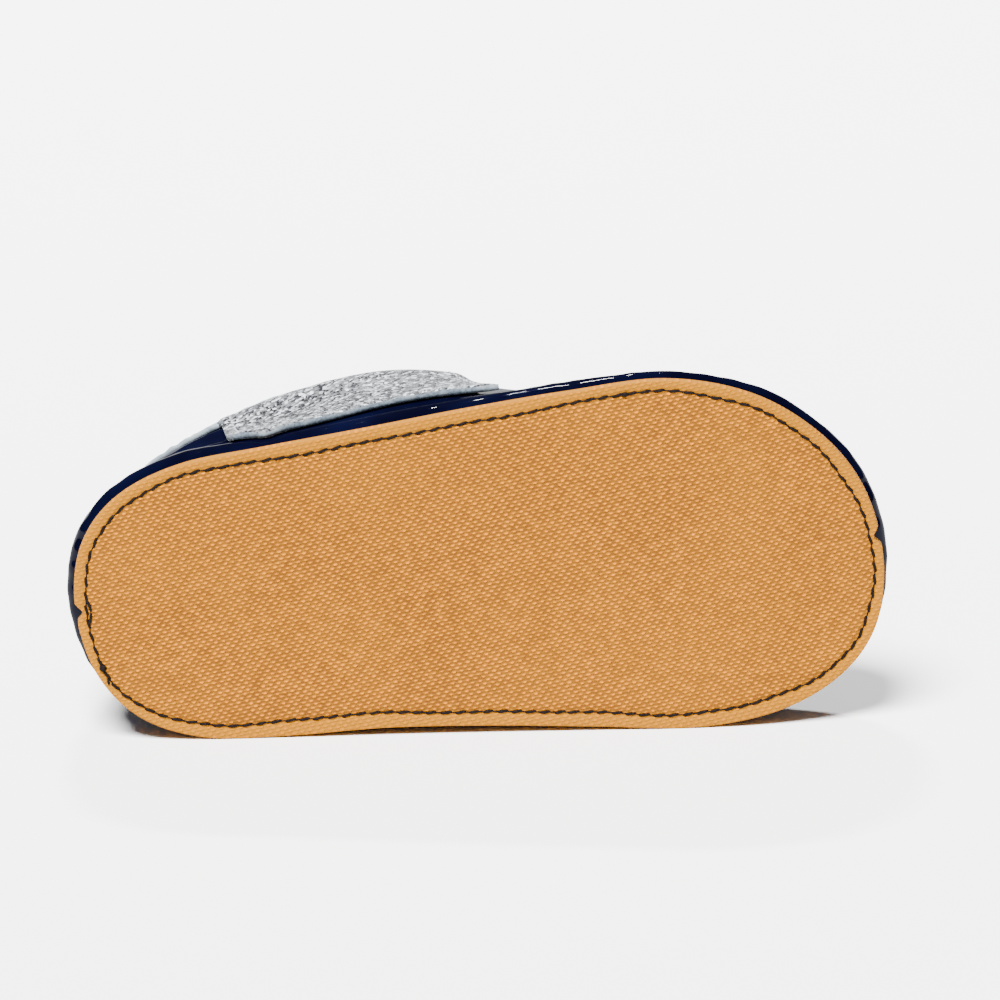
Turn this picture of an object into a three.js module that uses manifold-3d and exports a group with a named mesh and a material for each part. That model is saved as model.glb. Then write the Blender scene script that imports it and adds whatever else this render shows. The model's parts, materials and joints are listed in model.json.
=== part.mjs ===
// A soft barefoot shoe for a toddler's right foot, lying on its inner side as on a table.
//
// A flat tan outsole is stitched through to a soft navy upper, whose lower edge is turned in under
// the insole. A silver panel lies over each side of the upper, and a folded binding closes the
// topline. Every piece is made in the shoe's own frame, in millimetres: x from the heel to the toe,
// y towards the inner (medial) side, z up from the face that is walked on. The whole shoe is then
// turned over onto the edge of its outsole and the side of its upper.

import * as THREE from "three";
import { mergeVertices } from "three/addons/utils/BufferGeometryUtils.js";
import Module from "manifold-3d";

// Outsole
const soleLength = 140;
const ballWidth = 62.4;
const soleThickness = 2;
const toeSpring = 2.4; // rise of the tip of the toe
const toeSpringShare = 0.3; // share of the length that rises
const heelSpring = 0.7;
const heelSpringShare = 0.14;
const springReach = 1.1; // the upper's bulge past the sole's ends goes on curling up to here
const notchDepth = 1.4; // the cutter's centre marks at heel and toe
const notchWidth = 3.2;

// Upper
const heelHeight = 47; // topline above the walked-on face
const sideHeight = 41.5;
const instepHeight = 43;
const openingMiddle = 59; // where the quarters stand out most, along the shoe
const openingReach = 25;
const upperWall = 1.6;
const lastingMargin = 9; // how far the lower edge is turned in

// Insole, side panels and binding
const insoleThickness = 2;
const insoleInset = 4;
const cornerRise = 0.4; // how far the wall's inner corner stays outside the insole's gap
const panelThickness = 1.3;
const panelRear = 27; // along the shoe, at the topline
const panelRearLow = 30;
const panelFront = 66;
const panelFrontLow = 76.5;
const panelLift = 0.15; // how far the outer panel's free front corner stands off the upper
const panelInnerRise = 8; // how much higher the inner panel ends, clear of the outsole's edge
const panelTopGap = 0.45; // between the panels' upper edge and the binding
const bindingWidth = 4.2;
const bindingThickness = 0.9;
const bindingCrown = 1.17; // rise of the fold's top over the topline's gap

const fitGap = 0.3; // between pieces that lie on each other

// Fineness of the faceted faces
const roundSteps = 96;
const wallSteps = 12;
const panelLongSteps = 20;
const panelHighSteps = 8;
const slopeStep = 1e-3; // share of a turn or level over which a slope is taken
const searchStep = 0.004; // share of a level by which a search walks down the wall
const mergeDistance = 1e-4;

// Plan of the outsole, one row for each 15 degrees from the heel to the toe. A row lies at
// (1 - cos(turn)) / 2 of the length. The centre is a share of the ball's width towards the outer
// side, and the half a share of half the ball's width.
const SOLE_SECTIONS = [
  { turn: 0, centre: 0.026, half: 0 },
  { turn: 15, centre: 0.013, half: 0.371 },
  { turn: 30, centre: 0.004, half: 0.638 },
  { turn: 45, centre: 0.003, half: 0.784 },
  { turn: 60, centre: 0.008, half: 0.827 },
  { turn: 75, centre: 0.019, half: 0.856 },
  { turn: 90, centre: 0.023, half: 0.908 },
  { turn: 105, centre: 0.019, half: 0.962 },
  { turn: 120, centre: 0.009, half: 1 },
  { turn: 135, centre: -0.012, half: 0.912 },
  { turn: 150, centre: -0.038, half: 0.7 },
  { turn: 165, centre: -0.058, half: 0.4 },
  { turn: 180, centre: -0.066, half: 0 },
];

// Rings of the upper's outer face, from the feather edge up to the topline. Rear and front are
// shares of the length, and outer and inner of the plan's half widths. Round goes from the outsole's
// plan (0) to an oval (1), egg widens it in front, and spread is what the open quarters stand out, as
// a share of half the ball's width.
const RING_PLANS = [
  { rear: 0.01, front: 0.99, outer: 0.96, inner: 0.955, round: 0, egg: 0, spread: 0 },
  { rear: -0.008, front: 1.005, outer: 1.012, inner: 0.975, round: 0, egg: 0, spread: 0 },
  { rear: -0.007, front: 1, outer: 0.96, inner: 0.93, round: 0.05, egg: 0, spread: 0.02 },
  { rear: -0.003, front: 0.975, outer: 0.885, inner: 0.865, round: 0.3, egg: 0, spread: 0.04 },
  { rear: 0.006, front: 0.9, outer: 0.81, inner: 0.81, round: 0.6, egg: 0, spread: 0.06 },
  { rear: 0.02, front: 0.765, outer: 0.785, inner: 0.785, round: 0.9, egg: 0, spread: 0.065 },
  { rear: 0.034, front: 0.68, outer: 0.765, inner: 0.755, round: 1, egg: 0.09, spread: 0.04 },
  { rear: 0.048, front: 0.615, outer: 0.76, inner: 0.73, round: 1, egg: 0.18, spread: -0.01 },
];

// Heights of the same rings, as shares of the topline's height over the feather edge at heel, side
// and instep.
const RING_HEIGHTS = [
  { heel: 0, side: 0, instep: 0 },
  { heel: 0.08, side: 0.085, instep: 0.08 },
  { heel: 0.22, side: 0.24, instep: 0.22 },
  { heel: 0.4, side: 0.41, instep: 0.4 },
  { heel: 0.6, side: 0.62, instep: 0.59 },
  { heel: 0.79, side: 0.82, instep: 0.79 },
  { heel: 0.9, side: 0.92, instep: 0.91 },
  { heel: 1, side: 1, instep: 1 },
];

// Height of a panel's lower edge, in equal steps from its rear corner to its front corner, as shares
// of the topline's height at the side.
const PANEL_LOW_EDGE = [0.2, 0.125, 0.2, 0.268, 0.305, 0.327, 0.332, 0.3, 0.24];

const halfTurn = Math.PI;
const fullTurn = 2 * Math.PI;
const upperBase = soleThickness + fitGap;
const insoleBase = upperBase + upperWall + fitGap;

const lerp = (a, b, share) => a + (b - a) * share;
const clamp = (value, low, high) => Math.min(high, Math.max(low, value));

// Catmull-Rom value between b and c.
function catmullRom(a, b, c, d, share) {
  const out = (c - a) / 2;
  const into = (d - b) / 2;
  return b + share * (out + share * (3 * (c - b) - 2 * out - into + share * (2 * (b - c) + out + into)));
}

// A smooth run through values at equal steps, for a place given in steps.
function runThrough(at, place) {
  const start = Math.floor(place);
  return catmullRom(at(start - 1), at(start), at(start + 1), at(start + 2), place - start);
}

// The same through a list whose two ends go straight on, for a share of its length.
function runAlong(values, share) {
  const last = values.length - 1;
  const at = (index) => {
    if (index < 0) return 2 * values[0] - values[1];
    if (index > last) return values[last] + (index - last) * (values[last] - values[last - 1]);
    return values[index];
  };
  return runThrough(at, clamp(share, 0, 1) * last);
}

// One column of the plan at any angle round the shoe. The inner side repeats the outer one, and a
// mirrored column changes its sign there.
function planColumn(column, turn, mirrored) {
  const last = SOLE_SECTIONS.length - 1;
  const at = (index) => {
    const folded = ((index % (2 * last)) + 2 * last) % (2 * last);
    const inner = folded > last;
    const value = SOLE_SECTIONS[inner ? 2 * last - folded : folded][column];
    return inner && mirrored ? -value : value;
  };
  return runThrough(at, (turn / halfTurn) * last);
}

// One column of a table of rings between the feather edge (level 0) and the topline (level 1).
function ringColumn(rings, column, level) {
  return runAlong(rings.map((ring) => ring[column]), level);
}

// How far the soft sole curls up at this distance along it.
function spring(x) {
  const toe = clamp((x / soleLength - 1 + toeSpringShare) / toeSpringShare, 0, springReach);
  const heel = clamp((heelSpringShare - x / soleLength) / heelSpringShare, 0, springReach);
  return toeSpring * toe ** 2 + heelSpring * heel ** 2;
}

// A point of the outsole's edge, moved inwards by an inset.
function soleEdge(turn, inset = 0) {
  const plain = (angle) => {
    const middle = -planColumn("centre", angle, false) * ballWidth;
    const half = (planColumn("half", angle, true) * ballWidth) / 2;
    return new THREE.Vector2((soleLength * (1 - Math.cos(angle))) / 2, middle - half);
  };
  const point = plain(turn);
  if (inset === 0) return point;
  const along = plain(turn + slopeStep).sub(plain(turn - slopeStep)).normalize();
  return point.add(new THREE.Vector2(-along.y, along.x).multiplyScalar(inset));
}

// The outer face of the upper: an angle round the shoe and a level from feather edge to topline.
function upperFace(turn, level) {
  const plan = (column) => ringColumn(RING_PLANS, column, level);
  const rise = (column, height) => ringColumn(RING_HEIGHTS, column, level) * (height - upperBase);
  const x = soleLength * lerp(plan("rear"), plan("front"), (1 - Math.cos(turn)) / 2);
  const oval = Math.sin(turn) * (1 - plan("egg") * Math.cos(turn));
  const half = lerp(planColumn("half", turn, true), oval, plan("round"));
  const fullness = half > 0 ? plan("outer") : plan("inner");
  const openness = Math.max(0, 1 - ((x - openingMiddle) / openingReach) ** 2) ** 2;
  const spread = Math.sign(half) * plan("spread") * openness;
  const middle = -planColumn("centre", turn, false) * ballWidth;
  const y = middle - ((fullness * half + spread) * ballWidth) / 2;
  const heel = rise("heel", heelHeight);
  const side = rise("side", sideHeight);
  const instep = rise("instep", instepHeight);
  const ends = (heel + instep) / 2;
  const fromHeel = ((heel - instep) / 2) * Math.cos(turn);
  const fromSides = ((ends - side) / 2) * Math.cos(2 * turn);
  return new THREE.Vector3(x, y, upperBase + (ends + side) / 2 + fromHeel + fromSides);
}

// The same face moved outwards along its normal.
function upperOffset(turn, level, distance) {
  const low = Math.max(0, level - slopeStep);
  const high = Math.min(1, level + slopeStep);
  const round = upperFace(turn + slopeStep, level).sub(upperFace(turn - slopeStep, level));
  const climb = upperFace(turn, high).sub(upperFace(turn, low));
  return upperFace(turn, level).addScaledVector(round.cross(climb).normalize(), distance);
}

// The level that lies a distance below the topline, measured down the face.
function levelBelowTopline(turn, distance) {
  let level = 1;
  let gone = 0;
  while (gone < distance && level > searchStep) {
    gone += upperFace(turn, level).distanceTo(upperFace(turn, level - searchStep));
    level -= searchStep;
  }
  return level;
}

// The angle at which a ring of the upper passes a distance along the shoe, on its outer side.
function turnAt(x, level) {
  const rear = ringColumn(RING_PLANS, "rear", level);
  const front = ringColumn(RING_PLANS, "front", level);
  return Math.acos(clamp(1 - (2 * (x / soleLength - rear)) / (front - rear), -1, 1));
}

// The level of the outer side's face at a distance along the shoe and a height.
function levelAt(x, height) {
  let low = 0;
  let high = 1;
  while (high - low > slopeStep ** 3) {
    const middle = (low + high) / 2;
    if (upperFace(turnAt(x, middle), middle).z < height) low = middle;
    else high = middle;
  }
  return (low + high) / 2;
}

// A closed surface through loops of points. Unless the loops close on themselves, each end is
// capped by joining the first half of its loop to the second half.
function skinLoops(loops, closed) {
  const count = loops[0].length;
  const positions = loops.flat().flatMap((point) => [point.x, point.y, point.z]);
  const faces = [];
  const rows = closed ? loops.length : loops.length - 1;
  for (let row = 0; row < rows; row += 1) {
    const next = (row + 1) % loops.length;
    for (let k = 0; k < count; k += 1) {
      const side = (k + 1) % count;
      faces.push([row * count + k, next * count + k, next * count + side]);
      faces.push([row * count + k, next * count + side, row * count + side]);
    }
  }
  if (!closed) {
    const lastRow = (loops.length - 1) * count;
    for (let k = 0; k < count / 2 - 1; k += 1) {
      const far = count - 1 - k;
      faces.push([k, k + 1, far - 1], [k, far - 1, far]);
      faces.push([lastRow + k, lastRow + far - 1, lastRow + k + 1]);
      faces.push([lastRow + k, lastRow + far, lastRow + far - 1]);
    }
  }
  const geometry = new THREE.BufferGeometry();
  geometry.setAttribute("position", new THREE.Float32BufferAttribute(positions, 3));
  geometry.setIndex(faces.flat());
  return closeGeometry(geometry);
}

// Merges vertices that coincide and drops the triangles that collapse with them.
function closeGeometry(geometry) {
  geometry.deleteAttribute("normal");
  geometry.deleteAttribute("uv");
  const merged = mergeVertices(geometry, mergeDistance);
  const kept = [];
  for (let i = 0; i < merged.index.count; i += 3) {
    const [a, b, c] = [0, 1, 2].map((k) => merged.index.getX(i + k));
    if (a !== b && b !== c && c !== a) kept.push(a, b, c);
  }
  merged.setIndex(kept);
  return merged;
}

// The angles round the shoe, from the heel by the outer side, the toe and the inner side.
const turns = Array.from({ length: roundSteps }, (_, i) => (fullTurn * i) / roundSteps);

// A plate with the outsole's plan, such as the outsole or the insole, with its curl.
function plate(inset, base, thickness) {
  const loops = [];
  for (let i = 0; i <= roundSteps / 2; i += 1) {
    const turn = turns[i];
    const outer = soleEdge(turn, inset);
    const inner = soleEdge(fullTurn - turn, inset);
    const corner = (edge, z) => new THREE.Vector3(edge.x, edge.y, z + spring(edge.x));
    loops.push([
      corner(inner, base),
      corner(outer, base),
      corner(outer, base + thickness),
      corner(inner, base + thickness),
    ]);
  }
  return skinLoops(loops, false);
}

// The outsole's plate with a V cut into its edge at the centre of the heel and of the toe.
async function outsoleGeometry() {
  const wasm = await Module();
  wasm.setup();
  const toSolid = (geometry) =>
    new wasm.Manifold(
      new wasm.Mesh({
        numProp: 3,
        vertProperties: new Float32Array(geometry.attributes.position.array),
        triVerts: new Uint32Array(geometry.index.array),
      }),
    );
  const cutDepth = 2 * (soleThickness + toeSpring);
  let sole = toSolid(plate(0, 0, soleThickness));
  for (const [x, inwards] of [[0, 1], [soleLength, -1]]) {
    const tip = x + inwards * notchDepth;
    const mouth = x - inwards * notchDepth;
    const wedge = new THREE.Shape([
      new THREE.Vector2(tip, 0),
      new THREE.Vector2(mouth, notchWidth),
      new THREE.Vector2(mouth, -notchWidth),
    ]);
    const cutter = new THREE.ExtrudeGeometry(wedge, { depth: 2 * cutDepth, bevelEnabled: false });
    cutter.translate(0, 0, -cutDepth);
    sole = sole.subtract(toSolid(closeGeometry(cutter)));
  }
  const mesh = sole.getMesh();
  const geometry = new THREE.BufferGeometry();
  geometry.setAttribute("position", new THREE.BufferAttribute(mesh.vertProperties, 3));
  geometry.setIndex(new THREE.BufferAttribute(mesh.triVerts, 1));
  return geometry;
}

const springUp = (point) => point.setZ(point.z + spring(point.x));

// The upper: a wall that is open at the topline and, inside its turned-in margin, underneath.
function upperGeometry() {
  const loops = turns.map((turn) => {
    const margin = soleEdge(turn, lastingMargin);
    const corner = soleEdge(turn, insoleInset - fitGap - cornerRise);
    const loop = [new THREE.Vector3(margin.x, margin.y, upperBase)];
    for (let i = 0; i <= wallSteps; i += 1) loop.push(upperFace(turn, i / wallSteps));
    for (let i = wallSteps; i > 0; i -= 1) loop.push(upperOffset(turn, i / wallSteps, -upperWall));
    loop.push(new THREE.Vector3(corner.x, corner.y, upperBase + upperWall));
    loop.push(new THREE.Vector3(margin.x, margin.y, upperBase + upperWall));
    return loop.map(springUp);
  });
  return skinLoops(loops, true);
}

// A silver panel over the outer side of the upper, or its mirror image over the inner side.
function panelGeometry(inner) {
  const loops = [];
  for (let i = 0; i <= panelLongSteps; i += 1) {
    const along = i / panelLongSteps;
    const outerFace = [];
    const innerFace = [];
    const lowX = lerp(panelRearLow, panelFrontLow, along);
    const topX = lerp(panelRear, panelFront, along);
    const rise = inner ? panelInnerRise : 0;
    const lowEdge = levelAt(lowX, runAlong(PANEL_LOW_EDGE, along) * sideHeight + rise);
    const underBinding = levelBelowTopline(turnAt(topX, 1), bindingWidth);
    const topEdge = levelBelowTopline(turnAt(topX, underBinding), bindingWidth + panelTopGap);
    for (let j = 0; j <= panelHighSteps; j += 1) {
      const up = j / panelHighSteps;
      const level = lerp(lowEdge, topEdge, up);
      const outerTurn = turnAt(lerp(lowX, topX, up), level);
      const turn = inner ? fullTurn - outerTurn : outerTurn;
      const off = fitGap + (inner ? 0 : panelLift * along ** 3 * (1 - up) ** 2);
      outerFace.push(upperOffset(turn, level, off + panelThickness));
      innerFace.push(upperOffset(turn, level, off));
    }
    loops.push([...outerFace, ...innerFace.reverse()].map(springUp));
  }
  if (inner) loops.reverse();
  return skinLoops(loops, false);
}

// The folded strip that closes the topline, with a leg down each face of the wall.
function bindingGeometry() {
  const loops = turns.map((turn) => {
    const low = levelBelowTopline(turn, bindingWidth);
    const middle = (1 + low) / 2;
    const outside = fitGap + bindingThickness;
    const inside = -upperWall - fitGap - bindingThickness;
    const lift = (distance, height) => {
      const top = upperOffset(turn, 1, distance);
      const wallUp = top.clone().sub(upperOffset(turn, 1 - searchStep, distance)).normalize();
      return top.addScaledVector(wallUp, height);
    };
    const loop = [
      upperOffset(turn, low, outside),
      upperOffset(turn, middle, outside),
      lift(outside, fitGap),
      lift((outside + inside) / 2, fitGap + bindingCrown),
      lift(inside, fitGap),
      upperOffset(turn, middle, inside),
      upperOffset(turn, low, inside),
      upperOffset(turn, low, -upperWall - fitGap),
      upperOffset(turn, middle, -upperWall - fitGap),
      lift(-upperWall - fitGap, fitGap),
      lift(fitGap, fitGap),
      upperOffset(turn, middle, fitGap),
      upperOffset(turn, low, fitGap),
    ];
    return loop.map(springUp);
  });
  return skinLoops(loops, true);
}

const tanRubber = new THREE.MeshStandardMaterial({ color: 0xcf9356, roughness: 0.7, metalness: 0 });
const navyPatent = new THREE.MeshStandardMaterial({ color: 0x0b1030, roughness: 0.18, metalness: 0 });
const silverGlitter = new THREE.MeshStandardMaterial({ color: 0xb4b5b6, roughness: 0.5, metalness: 0.5 });
const greyLeather = new THREE.MeshStandardMaterial({ color: 0xa9b2b6, roughness: 0.6, metalness: 0 });
const insoleLeather = new THREE.MeshStandardMaterial({ color: 0xb9a58c, roughness: 0.85, metalness: 0 });

const shoe = new THREE.Group();
const addPiece = (name, geometry, material) => {
  const mesh = new THREE.Mesh(geometry, material);
  mesh.name = name;
  shoe.add(mesh);
};
addPiece("outsole", await outsoleGeometry(), tanRubber);
addPiece("upper", upperGeometry(), navyPatent);
addPiece("insole", plate(insoleInset, insoleBase, insoleThickness), insoleLeather);
addPiece("panel_outer", panelGeometry(false), silverGlitter);
addPiece("panel_inner", panelGeometry(true), silverGlitter);
addPiece("topline_binding", bindingGeometry(), greyLeather);

// Every corner of the meshes in a list of pieces, in the shoe's own frame.
function cornersOf(names) {
  return shoe.children
    .filter((mesh) => names.includes(mesh.name))
    .flatMap((mesh) => {
      const position = mesh.geometry.attributes.position;
      const corner = (_, i) => new THREE.Vector3().fromBufferAttribute(position, i);
      return Array.from({ length: position.count }, corner);
    });
}

// The plane under the inner side, as y = height + slope x + lean z. It touches the outsole's edge
// on both sides of the shoe's middle, and the upper or its panel at a third point.
function restingPlane() {
  const middle = soleLength / 2;
  const edge = cornersOf(["outsole"]).filter((point) => point.y > 0);
  const above = cornersOf(["upper", "panel_inner", "topline_binding"]);
  let plane = { height: 0, slope: 0, lean: 0 };
  let change = Infinity;
  for (let tries = 0; change > slopeStep ** 3 && tries < roundSteps; tries += 1) {
    const reach = (point) => point.y - plane.lean * point.z;
    let highest = -Infinity;
    for (const a of edge.filter((point) => point.x < middle)) {
      for (const b of edge.filter((point) => point.x > middle)) {
        const slope = (reach(b) - reach(a)) / (b.x - a.x);
        const atMiddle = reach(a) + slope * (middle - a.x);
        if (atMiddle > highest) {
          highest = atMiddle;
          plane = { ...plane, slope, height: atMiddle - slope * middle };
        }
      }
    }
    const { height, slope } = plane;
    const leanTo = (point) => (point.y - height - slope * point.x) / point.z;
    const lean = Math.max(...above.map(leanTo));
    change = Math.abs(lean - plane.lean);
    plane = { height, slope, lean };
  }
  return plane;
}

// Turns the shoe so that the plane under its inner side is level, with the toe towards +X and the
// walked-on face towards -Y.
function layOnInnerSide() {
  const plane = restingPlane();
  const up = new THREE.Vector3(plane.slope, -1, plane.lean).normalize();
  const along = new THREE.Vector3(1, 0, 0).addScaledVector(up, -up.x).normalize();
  const away = new THREE.Vector3().crossVectors(up, along);
  const basis = new THREE.Matrix4().makeBasis(along, away, up);
  shoe.quaternion.setFromRotationMatrix(basis.invert());
  shoe.updateMatrixWorld(true);
  const box = new THREE.Box3().setFromObject(shoe, true);
  const centre = box.getCenter(new THREE.Vector3());
  shoe.position.set(-centre.x, -centre.y, -box.min.z);
}

layOnInnerSide();

const barefootShoe = new THREE.Group();
barefootShoe.add(shoe);

export default barefootShoe;
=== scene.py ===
import json
import math

import bmesh
import bpy
import numpy as np
from mathutils import Matrix, Vector


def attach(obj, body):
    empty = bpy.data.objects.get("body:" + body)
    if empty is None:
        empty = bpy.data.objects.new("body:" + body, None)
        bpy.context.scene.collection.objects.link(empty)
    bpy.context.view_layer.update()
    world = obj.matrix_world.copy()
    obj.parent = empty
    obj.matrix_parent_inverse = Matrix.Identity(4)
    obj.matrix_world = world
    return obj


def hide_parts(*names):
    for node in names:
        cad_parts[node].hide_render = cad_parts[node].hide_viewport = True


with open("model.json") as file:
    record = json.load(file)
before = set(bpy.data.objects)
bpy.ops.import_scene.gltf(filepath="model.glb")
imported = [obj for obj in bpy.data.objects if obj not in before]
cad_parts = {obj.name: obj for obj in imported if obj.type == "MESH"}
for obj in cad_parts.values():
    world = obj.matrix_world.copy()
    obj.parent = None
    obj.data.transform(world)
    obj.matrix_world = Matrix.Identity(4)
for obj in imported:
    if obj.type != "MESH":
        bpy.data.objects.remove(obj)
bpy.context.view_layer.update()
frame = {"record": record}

bl_info = {
    "name": "Barefoot Shoe",
    "version": (1, 0, 0),
    "blender": (4, 5, 0),
    "location": "View3D > Sidebar > Shoe",
    "description": "Makes a toddler's soft barefoot shoe around its packed model",
    "category": "Object",
}

MM = 0.001

# The shoe's sizes in millimetres, in its own frame: x from heel to toe, y towards the inner side,
# z up from the walked-on face.
SOLE_LENGTH = 140.0
BALL_WIDTH = 62.4
SOLE_THICKNESS = 2.0
SOLE_ROUNDING = 0.22
TOE_SPRING = 2.4
TOE_SPRING_SHARE = 0.3
HEEL_SPRING = 0.7
HEEL_SPRING_SHARE = 0.14
NOTCH_DEPTH = 1.4
NOTCH_WIDTH = 3.2
HEEL_HEIGHT = 47.0
SIDE_HEIGHT = 41.5
INSTEP_HEIGHT = 43.0
OPENING_MIDDLE = 59.0
OPENING_REACH = 25.0
UPPER_WALL = 1.6
LIP_RISE = 0.25
LASTING_MARGIN = 9.0
INSOLE_THICKNESS = 2.0
INSOLE_ROUNDING = 0.35
INSOLE_INSET = 4.0
PANEL_THICKNESS = 1.3
PANEL_REAR = 27.0
PANEL_REAR_LOW = 30.0
PANEL_FRONT = 66.0
PANEL_FRONT_LOW = 76.5
PANEL_LIFT = 0.15
PANEL_INNER_RISE = 8.0
PANEL_TUCK = 1.2
BINDING_WIDTH = 4.2
BINDING_THICKNESS = 0.9
FIT_GAP = 0.3
UPPER_BASE = SOLE_THICKNESS + FIT_GAP
INSOLE_BASE = UPPER_BASE + UPPER_WALL + FIT_GAP

# The place on the tread where its mount lies
TREAD_POINT = (60.0, -1.0, 0.0)

# Plan of the outsole at every 15 degrees from heel to toe, as shares of the ball's width (centre)
# and of half of it (half).
SOLE_SECTIONS = {
    "centre": (0.026, 0.013, 0.004, 0.003, 0.008, 0.019, 0.023, 0.019, 0.009, -0.012, -0.038, -0.058, -0.066),
    "half": (0, 0.371, 0.638, 0.784, 0.827, 0.856, 0.908, 0.962, 1, 0.912, 0.7, 0.4, 0),
}

# Rings of the upper from feather edge to topline. Rear and front are shares of the length, outer
# and inner of the plan's half widths, and heel, side and instep of the three heights.
UPPER_RINGS = {
    "rear": (0.01, -0.008, -0.007, -0.003, 0.006, 0.02, 0.034, 0.048),
    "front": (0.99, 1.005, 1, 0.975, 0.9, 0.765, 0.68, 0.615),
    "outer": (0.96, 1.012, 0.96, 0.885, 0.81, 0.785, 0.765, 0.76),
    "inner": (0.955, 0.975, 0.93, 0.865, 0.81, 0.785, 0.755, 0.73),
    "round": (0, 0, 0.05, 0.3, 0.6, 0.9, 1, 1),
    "egg": (0, 0, 0, 0, 0, 0, 0.09, 0.18),
    "spread": (0, 0, 0.02, 0.04, 0.06, 0.065, 0.04, -0.01),
    "heel": (0, 0.08, 0.22, 0.4, 0.6, 0.79, 0.9, 1),
    "side": (0, 0.085, 0.24, 0.41, 0.62, 0.82, 0.92, 1),
    "instep": (0, 0.08, 0.22, 0.4, 0.59, 0.79, 0.91, 1),
}

# Height of a panel's lower edge in equal steps from rear to front, as shares of the side's height
PANEL_LOW_EDGE = (0.2, 0.125, 0.2, 0.268, 0.305, 0.327, 0.332, 0.3, 0.24)

# About how long and how high a panel is, and how far inside its edge it is stitched
PANEL_LENGTH = 45
PANEL_RISE = 33
PANEL_SEAM_INSET = 2.0

# Millimetres round the upper's wall for a degree, and up it for a level of 1
WALL_PER_DEGREE = 1.02
WALL_HEIGHT = 52

# Soft folds of the patent upper: the two ends of each as (angle round the shoe, level up the
# wall), its width and its depth in millimetres. A negative depth is a ridge.
UPPER_FOLDS = (
    {"start": (118, 0.52), "end": (236, 0.5), "width": 3.4, "depth": 0.88},
    {"start": (126, 0.62), "end": (228, 0.6), "width": 2.6, "depth": -0.45},
    {"start": (131, 0.72), "end": (231, 0.7), "width": 3, "depth": 0.8},
    {"start": (100, 0.3), "end": (134, 0.5), "width": 2.6, "depth": 0.64},
    {"start": (228, 0.45), "end": (262, 0.28), "width": 2.6, "depth": 0.64},
    {"start": (150, 0.28), "end": (172, 0.4), "width": 2.4, "depth": 0.48},
    {"start": (186, 0.38), "end": (214, 0.26), "width": 2.4, "depth": 0.48},
    {"start": (14, 0.35), "end": (40, 0.62), "width": 3, "depth": 0.8},
    {"start": (20, 0.2), "end": (47, 0.34), "width": 2.4, "depth": 0.56},
    {"start": (322, 0.6), "end": (346, 0.33), "width": 3, "depth": 0.8},
    {"start": (352, 0.55), "end": (8, 0.6), "width": 2.8, "depth": 0.64},
    {"start": (315, 0.36), "end": (338, 0.2), "width": 2.4, "depth": 0.48},
)

# How far a fold bows, the share on each side of its middle that keeps its depth, and the length in
# which it then fades
FOLD_BOW = 1.6
FOLD_FULL = 0.38
FOLD_FADE = 4

# Directions across the weave's two sets of ribs, from the shoe's length towards its outer side
WEAVE_ANGLES = (54.7, 140.7)

# The seam through the sole: its inset from the edge, how much further in it is at the ends and on
# the outer side, and where it slips towards the edge. Its turns are angles round the shoe.
SEAM_INSET = 2.2
SEAM_LEAN = {"ends": -0.22, "outer": -0.25}
SEAM_SLIP = {"turn": 5.97, "reach": 0.24, "by": -0.5}

# The trough that the thread has pulled into the rubber, and how deep the thread lies in it
TROUGH_DEPTH = 0.24
TROUGH_WIDTH = 0.55
SEAM_DEPTH = 0.12

# Near the edge the rubber's rings follow the edge, and from this margin inwards the seam
EDGE_MARGIN = 1.6

# The second run of stitches at the heel: how far it reaches to each side of the middle, how far
# inside the first it bows and how much it stands over it
DOUBLE_REACH = 2.5
DOUBLE_BOW = 0.75
DOUBLE_HEIGHT = 0.16

# Knots and thread ends: how far inside the seam, the angle round the shoe and the size of each
SEAM_KNOTS = (
    (0, 6.02, (0.6, 0.6, 0.35)),
    (-0.4, 5.96, (0.22, 0.6, 0.15)),
    (0, 1.98, (0.62, 0.42, 0.35)),
)

# How finely the meshes are divided: points round the shoe, rings between edge and spine of a plate
# with the spine's share of the length, levels of the upper up to where its gathers end and above,
# steps of a panel with the share at each border that is divided more finely, and rings and sides of
# a stitch and of a knot
PLATE_POINTS = 480
PLATE_SPINE = 0.42
RINGS_BELOW = 15
RINGS_ABOVE = 12
UPPER_POINTS = 680
GATHERED_SHARE = 0.1
GATHERED_LEVELS = 11
PLAIN_LEVELS = 66
PANEL_STEPS = {"along": (84, 0.022), "up": (52, 0.03)}
BINDING_POINTS = 720
SEAM_POINTS = 1600
BINDING_SEAM_POINTS = 900
PANEL_SEAM_POINTS = 160
STITCH_RINGS = 7
STITCH_SIDES = 8
KNOT_RINGS = 9
KNOT_SIDES = 12
GROOVE_SHADE_SIDES = 6

# The step in which a slope is measured, how often a search halves its range, and the distance in
# metres at which points are one
SLOPE_STEP = 1e-3
HALVINGS = 30
WELD_DISTANCE = 2e-6

# Inset that is given to all of a plate inside the rings that follow its edge
WELL_INSIDE = 9.0

# The picture: its side and the heel's place in it in pixels, the rise of the shoe's axis there, the
# angle between the view and the sole's normal, the scale, and the camera's sensor in millimetres
PICTURE_SIDE = 1000
HEEL_PIXEL = (75.5, 614.5)
AXIS_RISE = math.radians(5.32)
VIEW_OFF_NORMAL = math.radians(15)
PIXELS_PER_MM = 5.79
SENSOR_WIDTH = 36

# The studio in metres: an even dim surround, a wide soft light overhead and one long narrow light
FLOOR_REACH = 8
WORLD_STRENGTH = 0.15
OVERHEAD_STRENGTH = 18
OVERHEAD_ANGLE = math.radians(26)
OVERHEAD_TURN = (math.radians(24), math.radians(-14), 0)
STRIP_PLACE = (-0.05, 0.75, 0.75)
STRIP_TARGET = (0, 0, 0.03)
STRIP_SIZE = (0.12, 0.03)
STRIP_POWER = 16


# Sizes worked out along the shoe


def catmull_rom(a, b, c, d, share):
    """The value between b and c on a smooth run through a, b, c and d."""
    out, into = (c - a) / 2, (d - b) / 2
    return b + share * (out + share * (3 * (c - b) - 2 * out - into + share * (2 * (b - c) + out + into)))


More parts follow.
